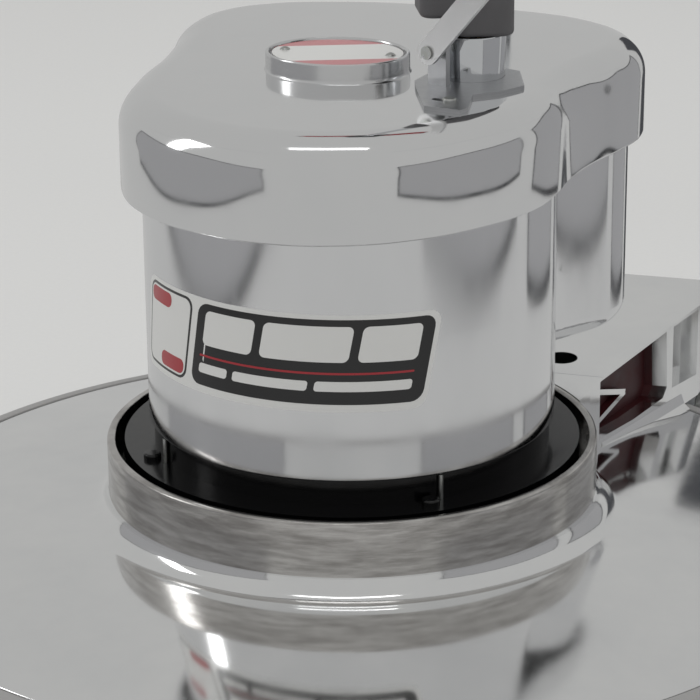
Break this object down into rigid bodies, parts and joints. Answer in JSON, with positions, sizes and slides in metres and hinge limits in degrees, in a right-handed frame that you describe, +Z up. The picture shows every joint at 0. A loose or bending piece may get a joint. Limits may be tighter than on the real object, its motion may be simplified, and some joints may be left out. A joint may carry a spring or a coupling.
{
  "type": "high speed floor burnisher",
  "caption": "Upright floor burnisher: polished round deck over a flat pad, vertical motor under a cast cover with a rear box, rear wheels and a tilting tube handle with grips.",
  "frame": {"origin": "on the floor, on the axis of the motor shaft, at the working face of the pad", "axes": "+Z up along the motor shaft, +Y to the rear where the handle stands, +X to the machine's left-hand side as its operator faces the front"},
  "size_m": [0.5439, 0.6705, 1.072],
  "materials": {
    "polished_aluminium": "polished",
    "bumper_vinyl": "matte",
    "black_enamel": "gloss",
    "polished_steel": "mirror polished",
    "lamination_steel": "dark",
    "copper_winding": "enamelled",
    "cast_alloy": "as cast",
    "zinc_steel": "zinc plated",
    "bearing_steel": "ground",
    "fan_plastic": "moulded",
    "driver_board": "moulded",
    "pad_fibre": "open fibre",
    "lock_plastic": "moulded",
    "badge_enamel": "gloss",
    "capacitor_can": "moulded",
    "contact_brass": "plated",
    "plug_rubber": "matte",
    "chrome_plate": "plated",
    "tyre_rubber": "matte",
    "hub_plastic": "moulded",
    "grip_rubber": "matte",
    "head_plastic": "moulded",
    "lever_plastic": "moulded",
    "button_plastic": "moulded"
  },
  "bodies": {
    "machine": {"deck_housing": "polished_aluminium", "handle_yoke": "polished_aluminium", "deck_bumper": "bumper_vinyl", "lower_end_bell": "black_enamel", "end_bell_screws": "zinc_steel", "motor_can": "polished_steel", "stator_core": "lamination_steel", "stator_windings": "copper_winding", "upper_end_bell": "cast_alloy", "through_bolts": "zinc_steel", "lower_bearing": "bearing_steel", "upper_bearing": "bearing_steel", "motor_cover": "polished_aluminium", "badge_plate": "badge_enamel", "badge_rivets": "zinc_steel", "cover_screws": "zinc_steel", "capacitor_cover": "polished_steel", "capacitors": "capacitor_can", "capacitor_bracket": "zinc_steel", "inlet_bracket": "chrome_plate", "power_inlet": "chrome_plate", "inlet_pins": "contact_brass", "motor_plug": "plug_rubber", "bracket_screw": "zinc_steel", "latch_pin": "zinc_steel", "wheel_brackets": "zinc_steel", "wheel_axle": "zinc_steel", "axle_collars": "zinc_steel", "pivot_bolt": "zinc_steel", "bracket_bolts": "zinc_steel"},
    "rotor": {"motor_shaft": "bearing_steel", "rotor_core": "lamination_steel", "cooling_fan": "fan_plastic", "drive_hub": "cast_alloy", "spindle_bolt": "zinc_steel", "drive_screws": "zinc_steel", "pad_driver": "driver_board", "burnishing_pad": "pad_fibre", "centre_lock": "lock_plastic"},
    "latch": {"plug_latch": "chrome_plate"},
    "wheel_right": {"tyre_right": "tyre_rubber", "wheel_hub_right": "hub_plastic"},
    "wheel_left": {"tyre_left": "tyre_rubber", "wheel_hub_left": "hub_plastic"},
    "tilt_lock": {"tilt_lock_lever": "chrome_plate"},
    "handle": {"handle_base": "polished_aluminium", "handle_tube": "chrome_plate", "socket_bolts": "zinc_steel", "switch_housing": "head_plastic", "housing_cover": "head_plastic", "housing_screws": "zinc_steel", "handlebars": "chrome_plate", "hand_grips": "grip_rubber", "run_switch": "capacitor_can", "cord_gland": "head_plastic", "hook_clamps": "chrome_plate", "lower_hook": "chrome_plate"},
    "levers": {"switch_levers": "lever_plastic"},
    "button": {"lock_button": "button_plastic"},
    "swivel_hook": {"upper_hook": "chrome_plate"}
  },
  "joints": [
    {"name": "rotor_spin", "type": "hinge", "parent": "machine", "child": "rotor", "pos_m": [0, 0, 0.2], "axis": [0, 0, 1], "continuous": true},
    {"name": "latch_swing", "type": "hinge", "parent": "machine", "child": "latch", "pos_m": [0.04556, -0.01327, 0.374], "axis": [-0.4493, -0.8934, 0], "range_deg": [-10, 70]},
    {"name": "wheel_right_spin", "type": "hinge", "parent": "machine", "child": "wheel_right", "pos_m": [0.116, 0.335, 0.0635], "axis": [1, 0, 0], "continuous": true},
    {"name": "wheel_left_spin", "type": "hinge", "parent": "machine", "child": "wheel_left", "pos_m": [-0.116, 0.335, 0.0635], "axis": [1, 0, 0], "continuous": true},
    {"name": "tilt_lock_turn", "type": "hinge", "parent": "machine", "child": "tilt_lock", "pos_m": [-0.098, 0.3, 0.14], "axis": [1, 0, 0], "range_deg": [0, 80]},
    {"name": "handle_tilt", "type": "hinge", "parent": "machine", "child": "handle", "pos_m": [0, 0.3, 0.14], "axis": [-1, 0, 0], "range_deg": [0, 70]},
    {"name": "lever_squeeze", "type": "hinge", "parent": "handle", "child": "levers", "pos_m": [0, 0.288, 0.992], "axis": [1, 0, 0], "range_deg": [0, 14], "stiffness_Nm_per_rad": 0.9, "springref_deg": -8.59},
    {"name": "button_press", "type": "slide", "parent": "handle", "child": "button", "axis": [0, 0, -1], "range_m": [0, 0.006], "stiffness_N_per_m": 300, "springref_m": -0.002},
    {"name": "hook_swivel", "type": "hinge", "parent": "handle", "child": "swivel_hook", "pos_m": [0, 0.262, 0.86], "axis": [0, -1, 0], "range_deg": [0, 180]}
  ]
}
